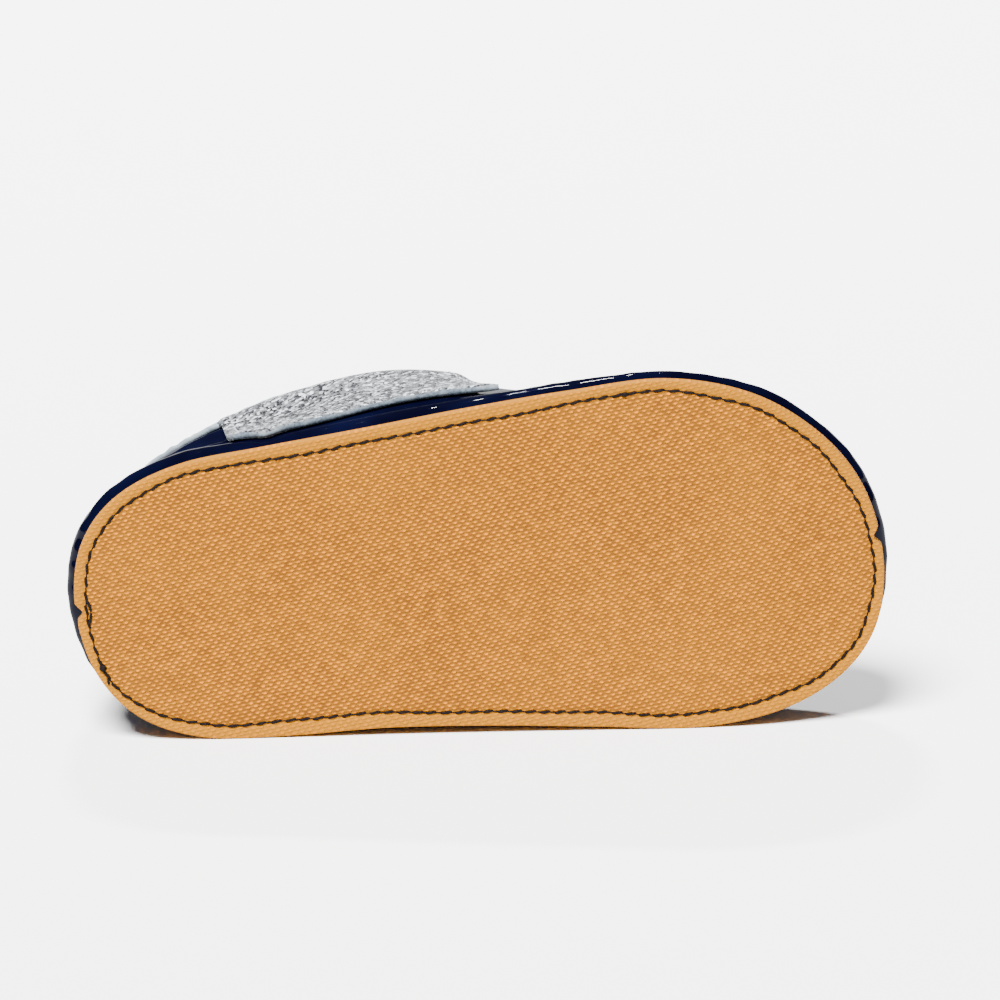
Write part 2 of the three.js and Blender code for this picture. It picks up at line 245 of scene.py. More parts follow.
def run_through(values, place, closed=False):
    """A smooth run through values at equal steps, which closes on itself or goes straight on."""
    values = np.asarray(values, float)
    place = np.asarray(place, float)
    if not closed:
        first, last = 2 * values[0] - values[1], 2 * values[-1] - values[-2]
        values = np.concatenate([[first], values, [last, 2 * last - values[-1]]])
        place = place + 1
    start = np.floor(place).astype(int)
    near = (values[(start + step) % len(values)] for step in (-1, 0, 1, 2))
    return catmull_rom(*near, place - start)


def run_along(values, share):
    """A smooth run through values at a share of its length."""
    return run_through(values, np.clip(share, 0, 1) * (len(values) - 1))


def plan_column(column, turn, mirrored=False):
    """A column of the plan at any angle round the shoe."""
    side = np.asarray(SOLE_SECTIONS[column], float)
    other = side[-2:0:-1] * (-1 if mirrored else 1)
    place = np.asarray(turn) / math.pi * (len(side) - 1)
    return run_through(np.concatenate([side, other]), place, closed=True)


def spring(x):
    """How far the soft sole curls up at this distance along it."""
    toe = np.clip((x / SOLE_LENGTH - 1 + TOE_SPRING_SHARE) / TOE_SPRING_SHARE, 0, 1.1)
    heel = np.clip((HEEL_SPRING_SHARE - x / SOLE_LENGTH) / HEEL_SPRING_SHARE, 0, 1.1)
    return TOE_SPRING * toe**2 + HEEL_SPRING * heel**2


def spring_up(points):
    """Points of the flat shoe, moved up by the sole's curl."""
    return np.concatenate([points[..., :2], (points[..., 2] + spring(points[..., 0]))[..., None]], -1)


def raised(plan, height):
    """Points of a plan at a height."""
    return np.concatenate([plan, np.broadcast_to(height, plan.shape[:-1])[..., None]], -1)


def round_the_shoe(count):
    """Equal steps of the angle round the shoe, from the heel."""
    return np.linspace(0, 2 * math.pi, count, endpoint=False)


def sole_edge(turn, inset=0.0):
    """Points of the outsole's edge, moved inwards by an inset."""
    def plain(angle):
        x = SOLE_LENGTH * (1 - np.cos(angle)) / 2
        half = plan_column("half", angle, mirrored=True) * BALL_WIDTH / 2
        return np.stack([x, -plan_column("centre", angle) * BALL_WIDTH - half], -1)
    along = plain(turn + SLOPE_STEP) - plain(turn - SLOPE_STEP)
    along /= np.linalg.norm(along, axis=-1, keepdims=True)
    inwards = np.stack([-along[..., 1], along[..., 0]], -1)
    return plain(turn) + inwards * np.asarray(inset)[..., None]


def upper_face(turn, level):
    """The outer face of the upper, as modelled."""
    turn, level = np.broadcast_arrays(np.asarray(turn, float), np.asarray(level, float))
    ring = {name: run_along(values, level) for name, values in UPPER_RINGS.items()}
    along = (1 - np.cos(turn)) / 2
    x = SOLE_LENGTH * (ring["rear"] + (ring["front"] - ring["rear"]) * along)
    oval = np.sin(turn) * (1 - ring["egg"] * np.cos(turn))
    plan = plan_column("half", turn, mirrored=True)
    half = plan + (oval - plan) * ring["round"]
    fullness = np.where(half > 0, ring["outer"], ring["inner"])
    openness = np.maximum(0, 1 - ((x - OPENING_MIDDLE) / OPENING_REACH) ** 2) ** 2
    spread = np.sign(half) * ring["spread"] * openness
    y = -plan_column("centre", turn) * BALL_WIDTH - (fullness * half + spread) * BALL_WIDTH / 2
    heel = ring["heel"] * (HEEL_HEIGHT - UPPER_BASE)
    side = ring["side"] * (SIDE_HEIGHT - UPPER_BASE)
    instep = ring["instep"] * (INSTEP_HEIGHT - UPPER_BASE)
    ends = (heel + instep) / 2
    rise = (ends + side) / 2 + (heel - instep) / 2 * np.cos(turn) + (ends - side) / 2 * np.cos(2 * turn)
    return np.stack([x, y, UPPER_BASE + rise], -1)


def upper_offset(turn, level, distance):
    """The upper's outer face moved outwards along its normal."""
    turn, level = np.broadcast_arrays(np.asarray(turn, float), np.asarray(level, float))
    low, high = np.maximum(0, level - SLOPE_STEP), np.minimum(1, level + SLOPE_STEP)
    around = upper_face(turn + SLOPE_STEP, level) - upper_face(turn - SLOPE_STEP, level)
    climb = upper_face(turn, high) - upper_face(turn, low)
    normal = np.cross(around, climb)
    normal /= np.linalg.norm(normal, axis=-1, keepdims=True)
    return upper_face(turn, level) + normal * np.asarray(distance)[..., None]


def level_below_topline(turn, distance):
    """The level that lies a distance below the topline, measured down the face."""
    levels = np.linspace(1, 0.6, 101)
    path = upper_face(turn[:, None], levels[None, :])
    steps = np.linalg.norm(np.diff(path, axis=1), axis=-1)
    gone = np.concatenate([np.zeros((len(turn), 1)), np.cumsum(steps, 1)], 1)
    return np.array([np.interp(distance, row, levels) for row in gone])


def turn_at(x, level):
    """The angle at which a ring of the upper passes a distance along the shoe, on its outer side."""
    rear, front = run_along(UPPER_RINGS["rear"], level), run_along(UPPER_RINGS["front"], level)
    return np.arccos(np.clip(1 - 2 * (np.asarray(x) / SOLE_LENGTH - rear) / (front - rear), -1, 1))


def level_at(x, height):
    """The level of the outer side's face at a distance along the shoe and a height."""
    low, high = np.zeros(np.shape(x)), np.ones(np.shape(x))
    for _ in range(HALVINGS):
        middle = (low + high) / 2
        below = upper_face(turn_at(x, middle), middle)[..., 2] < height
        low, high = np.where(below, middle, low), np.where(below, high, middle)
    return (low + high) / 2


def soft_noise(seed, places, waves=5, longest=60.0, shortest=6.0):
    """A smooth random height for points in millimetres, from a few seeded waves."""
    draws = np.random.default_rng(seed)
    total = np.zeros(places.shape[:-1])
    for length in np.geomspace(longest, shortest, waves):
        for _ in range(3):
            direction = draws.normal(size=places.shape[-1])
            direction /= np.linalg.norm(direction)
            phase = draws.uniform(0, 2 * math.pi)
            total += (length / longest) ** 0.6 * np.sin(places @ direction * 2 * math.pi / length + phase)
    usual = 1.7 * waves**0.5
    return total / usual


def smooth(edge0, edge1, value):
    """From 0 at the first edge to 1 at the second, with soft ends."""
    share = np.clip((value - edge0) / (edge1 - edge0), 0, 1)
    return share * share * (3 - 2 * share)


# The shoe's place in the frame


def shoe_matrix():
    """From the shoe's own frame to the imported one, by the face that is walked on."""
    tread = next(mount for mount in frame["record"]["mounts"] if mount["name"] == "tread_face")
    up = -np.array(tread["axis"])
    along = np.array([up[2], 0, -up[0]])
    along *= np.sign(along[0]) / np.linalg.norm(along)
    turned = np.stack([along, np.cross(up, along), up], 1)
    return turned, np.array(tread["pos_m"]) - turned @ (np.array(TREAD_POINT) * MM)


TURNED, MOVED = shoe_matrix()


def placed(points):
    """Points of the shoe's own frame in millimetres, as points of the frame in metres."""
    return points * MM @ TURNED.T + MOVED


# Meshes


def add_object(name, data):
    """A new object of the scene."""
    made = bpy.data.objects.new(name, data)
    bpy.context.scene.collection.objects.link(made)
    return made


def make_object(name, points, faces, slots=None):
    """A mesh object from points of the shoe's own frame, with a material slot for each face."""
    mesh = bpy.data.meshes.new(name)
    mesh.from_pydata(placed(np.asarray(points)).tolist(), [], faces)
    if slots is not None:
        mesh.polygons.foreach_set("material_index", np.asarray(slots, np.int32))
    mesh.update()
    return add_object(name, mesh)


def grid_faces(rows, columns, close_rows=False, close_columns=False, start=0):
    """Quads over a grid of rows and columns of points, with their columns."""
    row = np.arange(rows if close_rows else rows - 1)
    column = np.arange(columns if close_columns else columns - 1)
    i, j = (part.ravel() for part in np.meshgrid(row, column, indexing="ij"))
    i2, j2 = (i + 1) % rows, (j + 1) % columns
    quads = np.stack([i * columns + j, i2 * columns + j, i2 * columns + j2, i * columns + j2], 1) + start
    return quads, j


def tube_faces(rings, sides, start=0):
    """Faces of a closed tube of rings, with a cap over each end."""
    quads, _ = grid_faces(rings, sides, close_columns=True, start=start)
    first, last = range(start, start + sides), range(start + (rings - 1) * sides, start + rings * sides)
    return [*quads.tolist(), list(first), list(reversed(last))]


def joined(pieces):
    """One list of points and one of faces, from several."""
    points, faces = [], []
    for more, more_faces in pieces:
        shift = len(points)
        points.extend(more)
        faces.extend([index + shift for index in face] for face in more_faces)
    return points, faces


def weld(made):
    """Merges points that lie on one another and turns all faces outwards."""
    shape = bmesh.new()
    shape.from_mesh(made.data)
    bmesh.ops.remove_doubles(shape, verts=shape.verts, dist=WELD_DISTANCE)
    bmesh.ops.dissolve_degenerate(shape, dist=WELD_DISTANCE / 2, edges=shape.edges)
    bmesh.ops.recalc_face_normals(shape, faces=shape.faces)
    shape.to_mesh(made.data)
    shape.free()
    made.data.polygons.foreach_set("use_smooth", [True] * len(made.data.polygons))


def wear(made, materials, node=None):
    """Welds a piece, gives it its materials and its body, and hides the imported part that it stands for."""
    weld(made)
    for material in materials:
        made.data.materials.append(material)
    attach(made, "root")
    if node:
        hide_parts(node)


# Materials


class Socket:
    """A shader socket that takes part in Python expressions."""

    def __init__(self, shader, socket):
        self.shader = shader
        self.socket = socket

    def _math(self, operation, *values):
        return self.shader.node("ShaderNodeMath", {"operation": operation}, dict(enumerate(values)))

    def __add__(self, other):
        return self._math("ADD", self, other)

    def __sub__(self, other):
        return self._math("SUBTRACT", self, other)

    def __rsub__(self, other):
        return self._math("SUBTRACT", other, self)

    def __mul__(self, other):
        return self._math("MULTIPLY", self, other)

    def __truediv__(self, other):
        return self._math("DIVIDE", self, other)

    def __rtruediv__(self, other):
        return self._math("DIVIDE", other, self)

    __radd__ = __add__
    __rmul__ = __mul__

    def sine(self):
        return self._math("SINE", self)

    def ramp(self, low, high):
        """From 0 at low to 1 at high, with soft ends."""
        values = {"Value": self, "From Min": low, "From Max": high}
        return self.shader.node("ShaderNodeMapRange", {"interpolation_type": "SMOOTHSTEP"}, values)


class Shader:
    """A material's node tree."""

    def __init__(self, name):
        self.material = bpy.data.materials.new(name)
        self.material.use_nodes = True
        self.tree = self.material.node_tree
        self.surface = self.tree.nodes["Principled BSDF"]

    def node(self, kind, settings=None, values=None, output=0):
        """A new node: its settings, then the values or links of its sockets, and the output to use."""
        made = self.tree.nodes.new(kind)
        for key, value in (settings or {}).items():
            if key == "stops":
                self._stops(made.color_ramp, value)
            else:
                setattr(made, key, value)
        for key, value in (values or {}).items():
            self.feed(made.inputs[key], value)
        return Socket(self, made.outputs[output])

    def _stops(self, ramp, stops):
        while len(ramp.elements) < len(stops):
            ramp.elements.new(0.5)
        for element, (place, colour) in zip(ramp.elements, stops):
            element.position = place
            element.color = (*colour, 1)

    def feed(self, target, value):
        """Links a socket to an input, or sets the input to a number or a colour."""
        if isinstance(value, Socket):
            self.tree.links.new(value.socket, target)
        elif hasattr(value, "__len__") and len(value) == 3 and len(target.default_value) == 4:
            target.default_value = (*value, 1)
        else:
            target.default_value = value

    def mix(self, factor, first, second):
        """Goes from the first colour to the second. The node's inputs 6 and 7 are its colours."""
        values = {"Factor": factor, 6: first, 7: second}
        return self.node("ShaderNodeMix", {"data_type": "RGBA"}, values, output=2)

    def place(self):
        return self.node("ShaderNodeTexCoord", output="Object")

    def noise(self, pitch, detail=2.0, roughness=0.5):
        """A noise of about this pitch in millimetres, from 0 to 1."""
        values = {"Vector": self.place(), "Scale": 1 / (pitch * MM), "Detail": detail, "Roughness": roughness}
        return self.node("ShaderNodeTexNoise", None, values)

    def cells(self, pitch, output="Distance"):
        """Cells of about this size in millimetres."""
        values = {"Vector": self.place(), "Scale": 1 / (pitch * MM)}
        return self.node("ShaderNodeTexVoronoi", None, values, output=output)

    def measure(self, direction):
        """Millimetres along a direction of the shoe's own frame."""
        world = TURNED @ np.asarray(direction, float)
        values = {0: self.place(), 1: tuple(world)}
        along = self.node("ShaderNodeVectorMath", {"operation": "DOT_PRODUCT"}, values, output="Value")
        return (along - float(world @ MOVED)) / MM

    def bump(self, height, distance, strength=1.0, normal=None):
        """Bump of a height from 0 to 1 that stands this many millimetres high."""
        values = {"Height": height, "Distance": distance * MM, "Strength": strength}
        if normal is not None:
            values["Normal"] = normal
        return self.node("ShaderNodeBump", None, values)

    def finish(self, **values):
        """Feeds the surface's sockets and gives the material."""
        for key, value in values.items():
            self.feed(self.surface.inputs[key.replace("_", " ")], value)
        return self.material


def linear(colour):
    """A colour of 0 to 255 as linear light."""
    shares = (value / 255 for value in colour)
    return tuple(c / 12.92 if c <= 0.04045 else ((c + 0.055) / 1.055) ** 2.4 for c in shares)


def woven_height(shader, pitch):
    """The height of the sole's fine weave: two sets of ribs and the rows in which they cross."""
    wobble = (shader.noise(7, 1) - 0.5) * 1.6
    first, second = (
        shader.measure((math.cos(math.radians(angle)), -math.sin(math.radians(angle)), 0))
        * (2 * math.pi * MM / pitch) + wobble
        for angle in WEAVE_ANGLES
    )
    rows = math.pi / 2 - first - second
    weave = (first.sine() + second.sine()) * 0.28 - rows.sine() * 0.33
    speck = shader.noise(1.3, 3, 0.75)
    return weave * 0.62 + speck


def tan_rubber(colours, sizes):
    """Tan rubber, embossed with a fine weave that fades outside the seam. Its gaps are coloured darker as
    painted shade, and its pips lighter as painted highlight.
    """
    shader = Shader("tan_rubber")
    height = woven_height(shader, sizes.weave_pitch)
    inside = shader.node("ShaderNodeAttribute", {"attribute_name": "inside_seam"}, output="Fac")
    crispness = inside * 0.6 + 0.4
    pips = height.ramp(0.48, 1.05) * crispness
    # Painted shade: the weave's gaps are coloured darker, darkest where they are deepest.
    painted_gap_shade = shader.mix(height.ramp(0.15, 0.5), colours.sole_painted_deep_shade, colours.sole_painted_gap_shade)
    ground = shader.mix(inside, colours.sole, painted_gap_shade)
    cloud = shader.noise(26, 3)
    warm = shader.mix(cloud.ramp(0.35, 0.75) * 0.3, ground, colours.sole)
    # Painted highlight: the pips are coloured lighter, more on some pips than on others at random.
    highlight_variation = shader.noise(9, 2)
    lit = shader.mix(pips * (0.75 + 0.4 * highlight_variation), warm, colours.sole_painted_highlight)
    grain = shader.noise(0.5, 3, 0.6)
    relief = shader.bump(height.ramp(0.2, 1) * crispness, 0.3)
    return shader.finish(Base_Color=lit, Roughness=0.66 + 0.18 * grain, Specular_IOR_Level=0.08,
                         Normal=shader.bump(grain, 0.03, 0.5, relief))


def navy_patent(colours):
    """Navy patent leather: a clear coat over fine grain."""
    shader = Shader("navy_patent")
    cloud = shader.noise(14, 3)
    base = shader.mix(cloud.ramp(0.35, 0.75), colours.patent, colours.patent_light)
    pebble = shader.cells(0.9)
    ripple = shader.noise(2.6, 3, 0.6)
    relief = shader.bump(pebble, 0.07, 0.5)
    return shader.finish(Base_Color=base, Roughness=0.32 + 0.14 * ripple, Specular_IOR_Level=0.0,
                         Coat_Weight=0.08, Coat_Roughness=0.05, Coat_IOR=1.5,
                         Normal=shader.bump(ripple, 0.3, 0.7, relief))


def suede_lining(colours):
    """The flesh side of the leather, inside the shoe."""
    shader = Shader("suede_lining")
    fluff = shader.noise(0.7, 4, 0.7)
    patch = shader.noise(11, 3)
    base = shader.mix(patch.ramp(0.3, 0.75), colours.lining, colours.lining_dark)
    tone = shader.mix(fluff.ramp(0.35, 0.8) * 0.35, base, colours.lining_dark)
    return shader.finish(Base_Color=tone, Roughness=0.88 + 0.08 * fluff, Sheen_Weight=0.25,
                         Normal=shader.bump(fluff, 0.12, 0.6))


def silver_glitter(colours):
    """Silver leather covered with fine glitter."""
    shader = Shader("silver_glitter")
    flake_size = 0.62
    flake = shader.cells(flake_size, output="Color")
    value = shader.node("ShaderNodeSeparateColor", None, {"Color": flake}, output="Red")
    facet = shader.cells(flake_size)
    patch = shader.noise(6, 2)
    stops = ((0, colours.glitter_dark), (0.36, colours.glitter_dark), (0.44, colours.glitter),
             (0.66, colours.glitter), (1, colours.glitter_bright))
    tone = shader.node("ShaderNodeValToRGB", {"stops": stops}, {"Fac": value * 0.85 + 0.15 * patch})
    return shader.finish(Base_Color=tone, Metallic=0.35 * value, Roughness=0.4 + 0.3 * value,
                         Specular_IOR_Level=0.2, Normal=shader.bump(facet + value * 0.8, 0.13, 0.85))


def raw_edge(colours):
    """The cut edge of the silver leather, with its fibres."""
    shader = Shader("raw_edge")
    fibre = shader.noise(0.5, 4, 0.7)
    patch = shader.noise(3.5, 2)
    base = shader.mix(fibre.ramp(0.3, 0.75), colours.edge_dark, colours.edge)
    tone = shader.mix(patch.ramp(0.5, 0.8) * 0.5, base, colours.edge_light)
    return shader.finish(Base_Color=tone, Roughness=0.75 + 0.15 * fibre, Normal=shader.bump(fibre, 0.14, 0.8))


def grey_binding(colours):
    """Light grey leather of the topline's binding, with a fine grain."""
    shader = Shader("grey_binding")
    grain = shader.cells(0.8)
    fibre = shader.noise(0.45, 3, 0.7)
    patch = shader.noise(5, 3)
    base = shader.mix(patch.ramp(0.3, 0.7), colours.edge, colours.edge_light)
    tone = shader.mix(fibre.ramp(0.5, 0.9) * 0.5, base, colours.edge_dark)
    relief = shader.bump(grain, 0.1, 0.5)
    return shader.finish(Base_Color=tone, Roughness=0.58 + 0.2 * fibre,
                         Normal=shader.bump(fibre, 0.05, 0.5, relief))


def footbed_leather(colours):
    """Pigskin of the footbed, with its pores, which are coloured darker as painted shade in their pits."""
    shader = Shader("footbed_leather")
    pore = shader.cells(1.4)
    patch = shader.noise(16, 3)
    fibre = shader.noise(0.6, 3, 0.6)
    base = shader.mix(patch.ramp(0.3, 0.7), colours.lining, colours.lining_dark)
    # Painted shade: the pore pits are coloured darker.
    tone = shader.mix((1 - pore.ramp(0.05, 0.25)) * 0.6, base, colours.lining_dark)
    relief = shader.bump(pore.ramp(0, 0.3), 0.1, 0.6)
    return shader.finish(Base_Color=tone, Roughness=0.7 + 0.15 * fibre,
                         Normal=shader.bump(fibre, 0.05, 0.4, relief))


def waxed_thread(name, colour, twist_pitch):
    """Twisted thread, with painted shade between its strands."""
    shader = Shader(name)
    twist = (shader.measure((0.8, 0.6, 0)) * (2 * math.pi / twist_pitch)).sine()
    # Painted shade: the thread is coloured darker in the grooves between its strands.
    strand_shade = tuple(0.45 * value for value in colour)
    tone = shader.mix(twist * 0.4 + 0.45, strand_shade, colour)
    return shader.finish(Base_Color=tone, Roughness=0.75 + 0.1 * twist, Specular_IOR_Level=0.1,
                         Normal=shader.bump(twist, 0.05, 0.6))


def studio_floor(colours):
    """A plain pale floor with a faint mottle."""
    shader = Shader("studio_floor")
    mottle = shader.noise(40, 2)
    shaded = tuple(0.985 * value for value in colours.floor)
    return shader.finish(Base_Color=shader.mix(mottle, colours.floor, shaded), Roughness=0.9)


# Shapes of the sole and the insole


def sole_outline(turns, inset):
    """The edge with its two V notches, where an inset is less than their depth."""
    edge = sole_edge(turns, inset)
    cut = np.maximum(0, NOTCH_DEPTH * (1 - np.abs(edge[..., 1]) / (NOTCH_WIDTH / 2)) - inset)
    edge[..., 0] += np.sign(SOLE_LENGTH / 2 - edge[..., 0]) * cut
    return edge


def plate_rings(inset, base, thickness, rounding, dips, follow=None):
    """A plate with the plan of the outsole, as rings that run in to a spine on both faces, and the
    inset of each point. The dips give the depth of each inset ring of the lower face. The rings past
    the margin at the edge follow the given function's shift at each angle."""
    turns = round_the_shoe(PLATE_POINTS)
    shift = follow(turns) if follow else np.zeros(PLATE_POINTS)
    spine_x = SOLE_LENGTH / 2 * (1 - PLATE_SPINE * np.cos(turns))
    spine_y = -plan_column("centre", np.arccos(1 - 2 * spine_x / SOLE_LENGTH)) * BALL_WIDTH
    spine = np.stack([spine_x, spine_y], -1)
    inner = sole_outline(turns, inset + dips[-1][0] + shift)
    rings = []
    for share in np.linspace(1, 0, RINGS_BELOW)[:-1]:
        rings.append((inner + (spine - inner) * share, base, WELL_INSIDE))
    for ring_inset, dip in reversed(dips):
        along_edge = inset + ring_inset + shift * min(1, ring_inset / EDGE_MARGIN)
        rings.append((sole_outline(turns, along_edge), base + dip, ring_inset))
    corner = rounding * 0.3
    for ring_inset, rise in ((corner, corner), (0, rounding), (0, thickness / 2), (0, thickness - rounding),
                             (corner, thickness - corner), (rounding, thickness)):
        rings.append((sole_outline(turns, inset + ring_inset), base + rise, 0))
    for share in np.linspace(0, 1, RINGS_ABOVE)[1:]:
        rings.append((inner + (spine - inner) * share, base + thickness, WELL_INSIDE))
    points = np.stack([spring_up(raised(plan, height)) for plan, height, _ in rings])
    return points, np.repeat([ring_inset for _, _, ring_inset in rings], PLATE_POINTS)


def spine_faces(rings, count):
    """Faces that join the two halves of the first and of the last ring along the spine."""
    faces = []
    for ring, order in ((0, -1), (rings - 1, 1)):
        for k in range(count // 2):
            there = ring * count + k
            back = [ring * count + (count - k - 1) % count, ring * count + (count - k) % count]
            face = list(dict.fromkeys([there, there + 1, *back]))
            if len(face) >= 3:
                faces.append(face[::order])
    return faces


def make_plate(name, points):
    """A closed plate from its rings."""
    rings, count = points.shape[:2]
    quads, _ = grid_faces(rings, count, close_columns=True)
    return make_object(name, points.reshape(-1, 3), quads.tolist() + spine_faces(rings, count))


def seam_trough(inset):
    """How deep the thread has pulled the rubber in at an inset from the edge."""
    return TROUGH_DEPTH * math.exp(-(((inset - SEAM_INSET) / TROUGH_WIDTH) ** 2))


def seam_shift(turns):
    """How far the seam leaves its usual inset: it wanders a little, as the real one does."""
    drift = 0.2 * np.sin(turns * 5 + 0.7) + 0.14 * np.sin(turns * 11 + 2) + 0.1 * np.sin(turns * 23)
    side = SEAM_LEAN["ends"] * np.cos(2 * turns) + SEAM_LEAN["outer"] * np.sin(turns)
    slip = SEAM_SLIP["by"] * np.exp(-(((turns - SEAM_SLIP["turn"]) / SEAM_SLIP["reach"]) ** 2))
    return side + slip + drift * np.abs(np.sin(turns / 2)) ** 0.3


def seam_line(turns, further_in=0.0):
    """Points of the seam's line on the tread."""
    return spring_up(raised(sole_edge(turns, SEAM_INSET + seam_shift(turns) + further_in), 0))


# Shapes of thread


def stitch_row(path, out, pitch, share, radius, sink, seed, slant=0.0):
    """Stitches as short bent rods on a path, each dipping into the leather at its ends. The share is
    that of a stitch in its pitch, and the slant its lean across the path."""
    shift, shortest, longest, lean, flatness = 0.06, 0.92, 1.06, 0.05, 0.75
    draws = np.random.default_rng(seed)
    steps = np.concatenate([[0], np.cumsum(np.linalg.norm(np.diff(path, axis=0), axis=1))])
    forwards, outwards = np.gradient(path, axis=0), np.broadcast_to(out, path.shape)
    count = int(steps[-1] / pitch)
    points, faces = [], []

    def at(values, place):
        return np.array([np.interp(place, steps, column) for column in values.T])

    for stitch in range(count):
        middle = (stitch + 0.5 + draws.uniform(-shift, shift)) * steps[-1] / count
        length = pitch * share * draws.uniform(shortest, longest)
        tilt = slant + draws.uniform(-lean, lean)
        faces.extend(tube_faces(STITCH_RINGS, STITCH_SIDES, len(points)))
        for to_end in np.linspace(-1, 1, STITCH_RINGS):
            along = to_end * length / 2
            forward, outward = at(forwards, middle + along), at(outwards, middle + along)
            forward /= np.linalg.norm(forward)
            outward /= np.linalg.norm(outward)
            across = np.cross(outward, forward)
            thick = radius * (1 - 0.5 * to_end**4)
            centre = at(path, middle + along) + across * tilt * along - outward * sink * to_end**4
            for angle in np.linspace(0, 2 * math.pi, STITCH_SIDES, endpoint=False):
                rim = across * math.cos(angle) + outward * flatness * math.sin(angle)
                points.append(centre + rim * thick)
    return points, faces


def seam_groove_shade_tube(path, radius):
    """A thin dark tube along the seam, half sunk into the rubber, that shows between the stitches: painted
    shade of the seam's groove, laid as thread.
    """
    along = np.gradient(path, axis=0)
    along /= np.linalg.norm(along, axis=1, keepdims=True)
    out = np.array([0.0, 0.0, -1.0])
    across = np.cross(out, along)
    sunk = 0.3
    points = []
    for centre, side in zip(path[:-1:3], across[:-1:3]):
        for angle in np.linspace(0, 2 * math.pi, GROOVE_SHADE_SIDES, endpoint=False):
            points.append(centre + radius * (side * math.cos(angle) + out * (math.sin(angle) - sunk)))
    quads, _ = grid_faces(len(points) // GROOVE_SHADE_SIDES, GROOVE_SHADE_SIDES, close_rows=True, close_columns=True)
    return points, quads.tolist()


def knot(centre, size):
    """A small lumpy knot of thread."""
    lumps, lump_height = 3, 0.14
    points = []
    for ring in range(KNOT_RINGS):
        tilt = math.pi * (ring + 0.5) / KNOT_RINGS
        for angle in np.linspace(0, 2 * math.pi, KNOT_SIDES, endpoint=False):
            bulge = 1 + lump_height * math.sin(lumps * angle + 2 * tilt)
            ball = (math.cos(tilt), math.sin(tilt) * math.cos(angle), math.sin(tilt) * math.sin(angle))
            points.append(centre + bulge * np.multiply(size, ball))
    return points, tube_faces(KNOT_RINGS, KNOT_SIDES)


# Shapes of the upper, the panels and the binding


def folds_depth(turn, level):
    """The height of the upper's folds over its plain face, in millimetres."""
    around, climb = np.degrees(turn) % 360 * WALL_PER_DEGREE, level * WALL_HEIGHT
    girth = 360 * WALL_PER_DEGREE
    total = np.zeros(np.broadcast(turn, level).shape)
    for fold in UPPER_FOLDS:
        start = np.multiply(fold["start"], (WALL_PER_DEGREE, WALL_HEIGHT))
        end = np.multiply(fold["end"], (WALL_PER_DEGREE, WALL_HEIGHT))
        if end[0] < start[0]:
            end[0] += girth
        run = end - start
        length = np.linalg.norm(run)
        for lap in (0, girth):
            x, y = around + lap - start[0], climb - start[1]
            share = (x * run[0] + y * run[1]) / length**2
            bow = FOLD_BOW * np.sin(math.pi * np.clip(share, 0, 1))
            off = (y * run[0] - x * run[1]) / length - bow
            past = np.maximum(0, np.abs(share - 0.5) - FOLD_FULL) * length / FOLD_FADE
            total -= fold["depth"] * np.exp(-((off / fold["width"]) ** 2) - past**2)
    return total


def puckers(turn, level):
    """Small gathers where the upper is drawn in to the sole, stronger at heel and toe."""
    height, middle, reach = 0.16, 2.5, 5.5
    ends = 0.35 + 0.65 * np.abs(np.cos(turn)) ** 1.5
    wave = np.sin(turn * 64 + 1.3 * np.sin(turn * 5)) + 0.6 * np.sin(turn * 41 + 2 * np.sin(turn * 3 + 1))
    band = np.exp(-(((level * WALL_HEIGHT - middle) / reach) ** 2))
    return height * ends * wave * band * smooth(0, 0.03, level)


def upper_relief(turn, level):
    """All that the upper's face stands off its plain form."""
    places = upper_face(turn, level)
    x = places[..., 0]
    behind = smooth(PANEL_REAR - 3, PANEL_REAR + 1, x)
    ahead = smooth(PANEL_FRONT_LOW + 1.5, PANEL_FRONT_LOW + 5.5, x)
    under_panel = behind * (1 - ahead) * smooth(0.06, 0.16, level)
    slack = 0.28 * soft_noise(11, places, longest=46, shortest=11) * smooth(0.02, 0.25, level)
    grain = 0.05 * soft_noise(29, places, waves=4, longest=8.5, shortest=3)
    under_binding = smooth(0.86, 0.93, level)
    soft = (folds_depth(turn, level) + slack + grain) * (1 - 0.9 * under_panel) * (1 - under_binding)
    return soft + puckers(turn, level)


def upper_shell():
    """The hollow upper: a closed loop of points at each angle, from the turned-in margin over the
    outer face and the topline to the lining, and where the outer face ends."""
    turns = round_the_shoe(UPPER_POINTS)
    low_levels = np.linspace(0, GATHERED_SHARE, GATHERED_LEVELS)
    levels = np.concatenate([low_levels[:-1], np.linspace(GATHERED_SHARE, 1, PLAIN_LEVELS)])
    turn, level = np.meshgrid(turns, levels, indexing="ij")
    outer = upper_offset(turn, level, upper_relief(turn, level))
    turn, level = np.meshgrid(turns, levels[::-1][:-1:2], indexing="ij")
    relief_inside = upper_relief(turn, level) * smooth(0.05, 0.2, level) * 0.8
    inner = upper_offset(turn, level, relief_inside - UPPER_WALL)
    lip = upper_offset(turns, 1, -UPPER_WALL / 2) + (0, 0, LIP_RISE)
    margin = sole_edge(turns, LASTING_MARGIN)
    halfway = sole_edge(turns, LASTING_MARGIN / 2)
    corner = sole_edge(turns, INSOLE_INSET - FIT_GAP - UPPER_WALL / 4)
    turned_in = np.stack([raised(margin, UPPER_BASE), raised(halfway, UPPER_BASE)], 1)
    over_margin = np.stack([raised(plan, UPPER_BASE + UPPER_WALL) for plan in (corner, margin)], 1)
    loop = np.concatenate([turned_in, outer, lip[:, None], inner, over_margin], 1)
    return spring_up(loop), turned_in.shape[1] + len(levels)


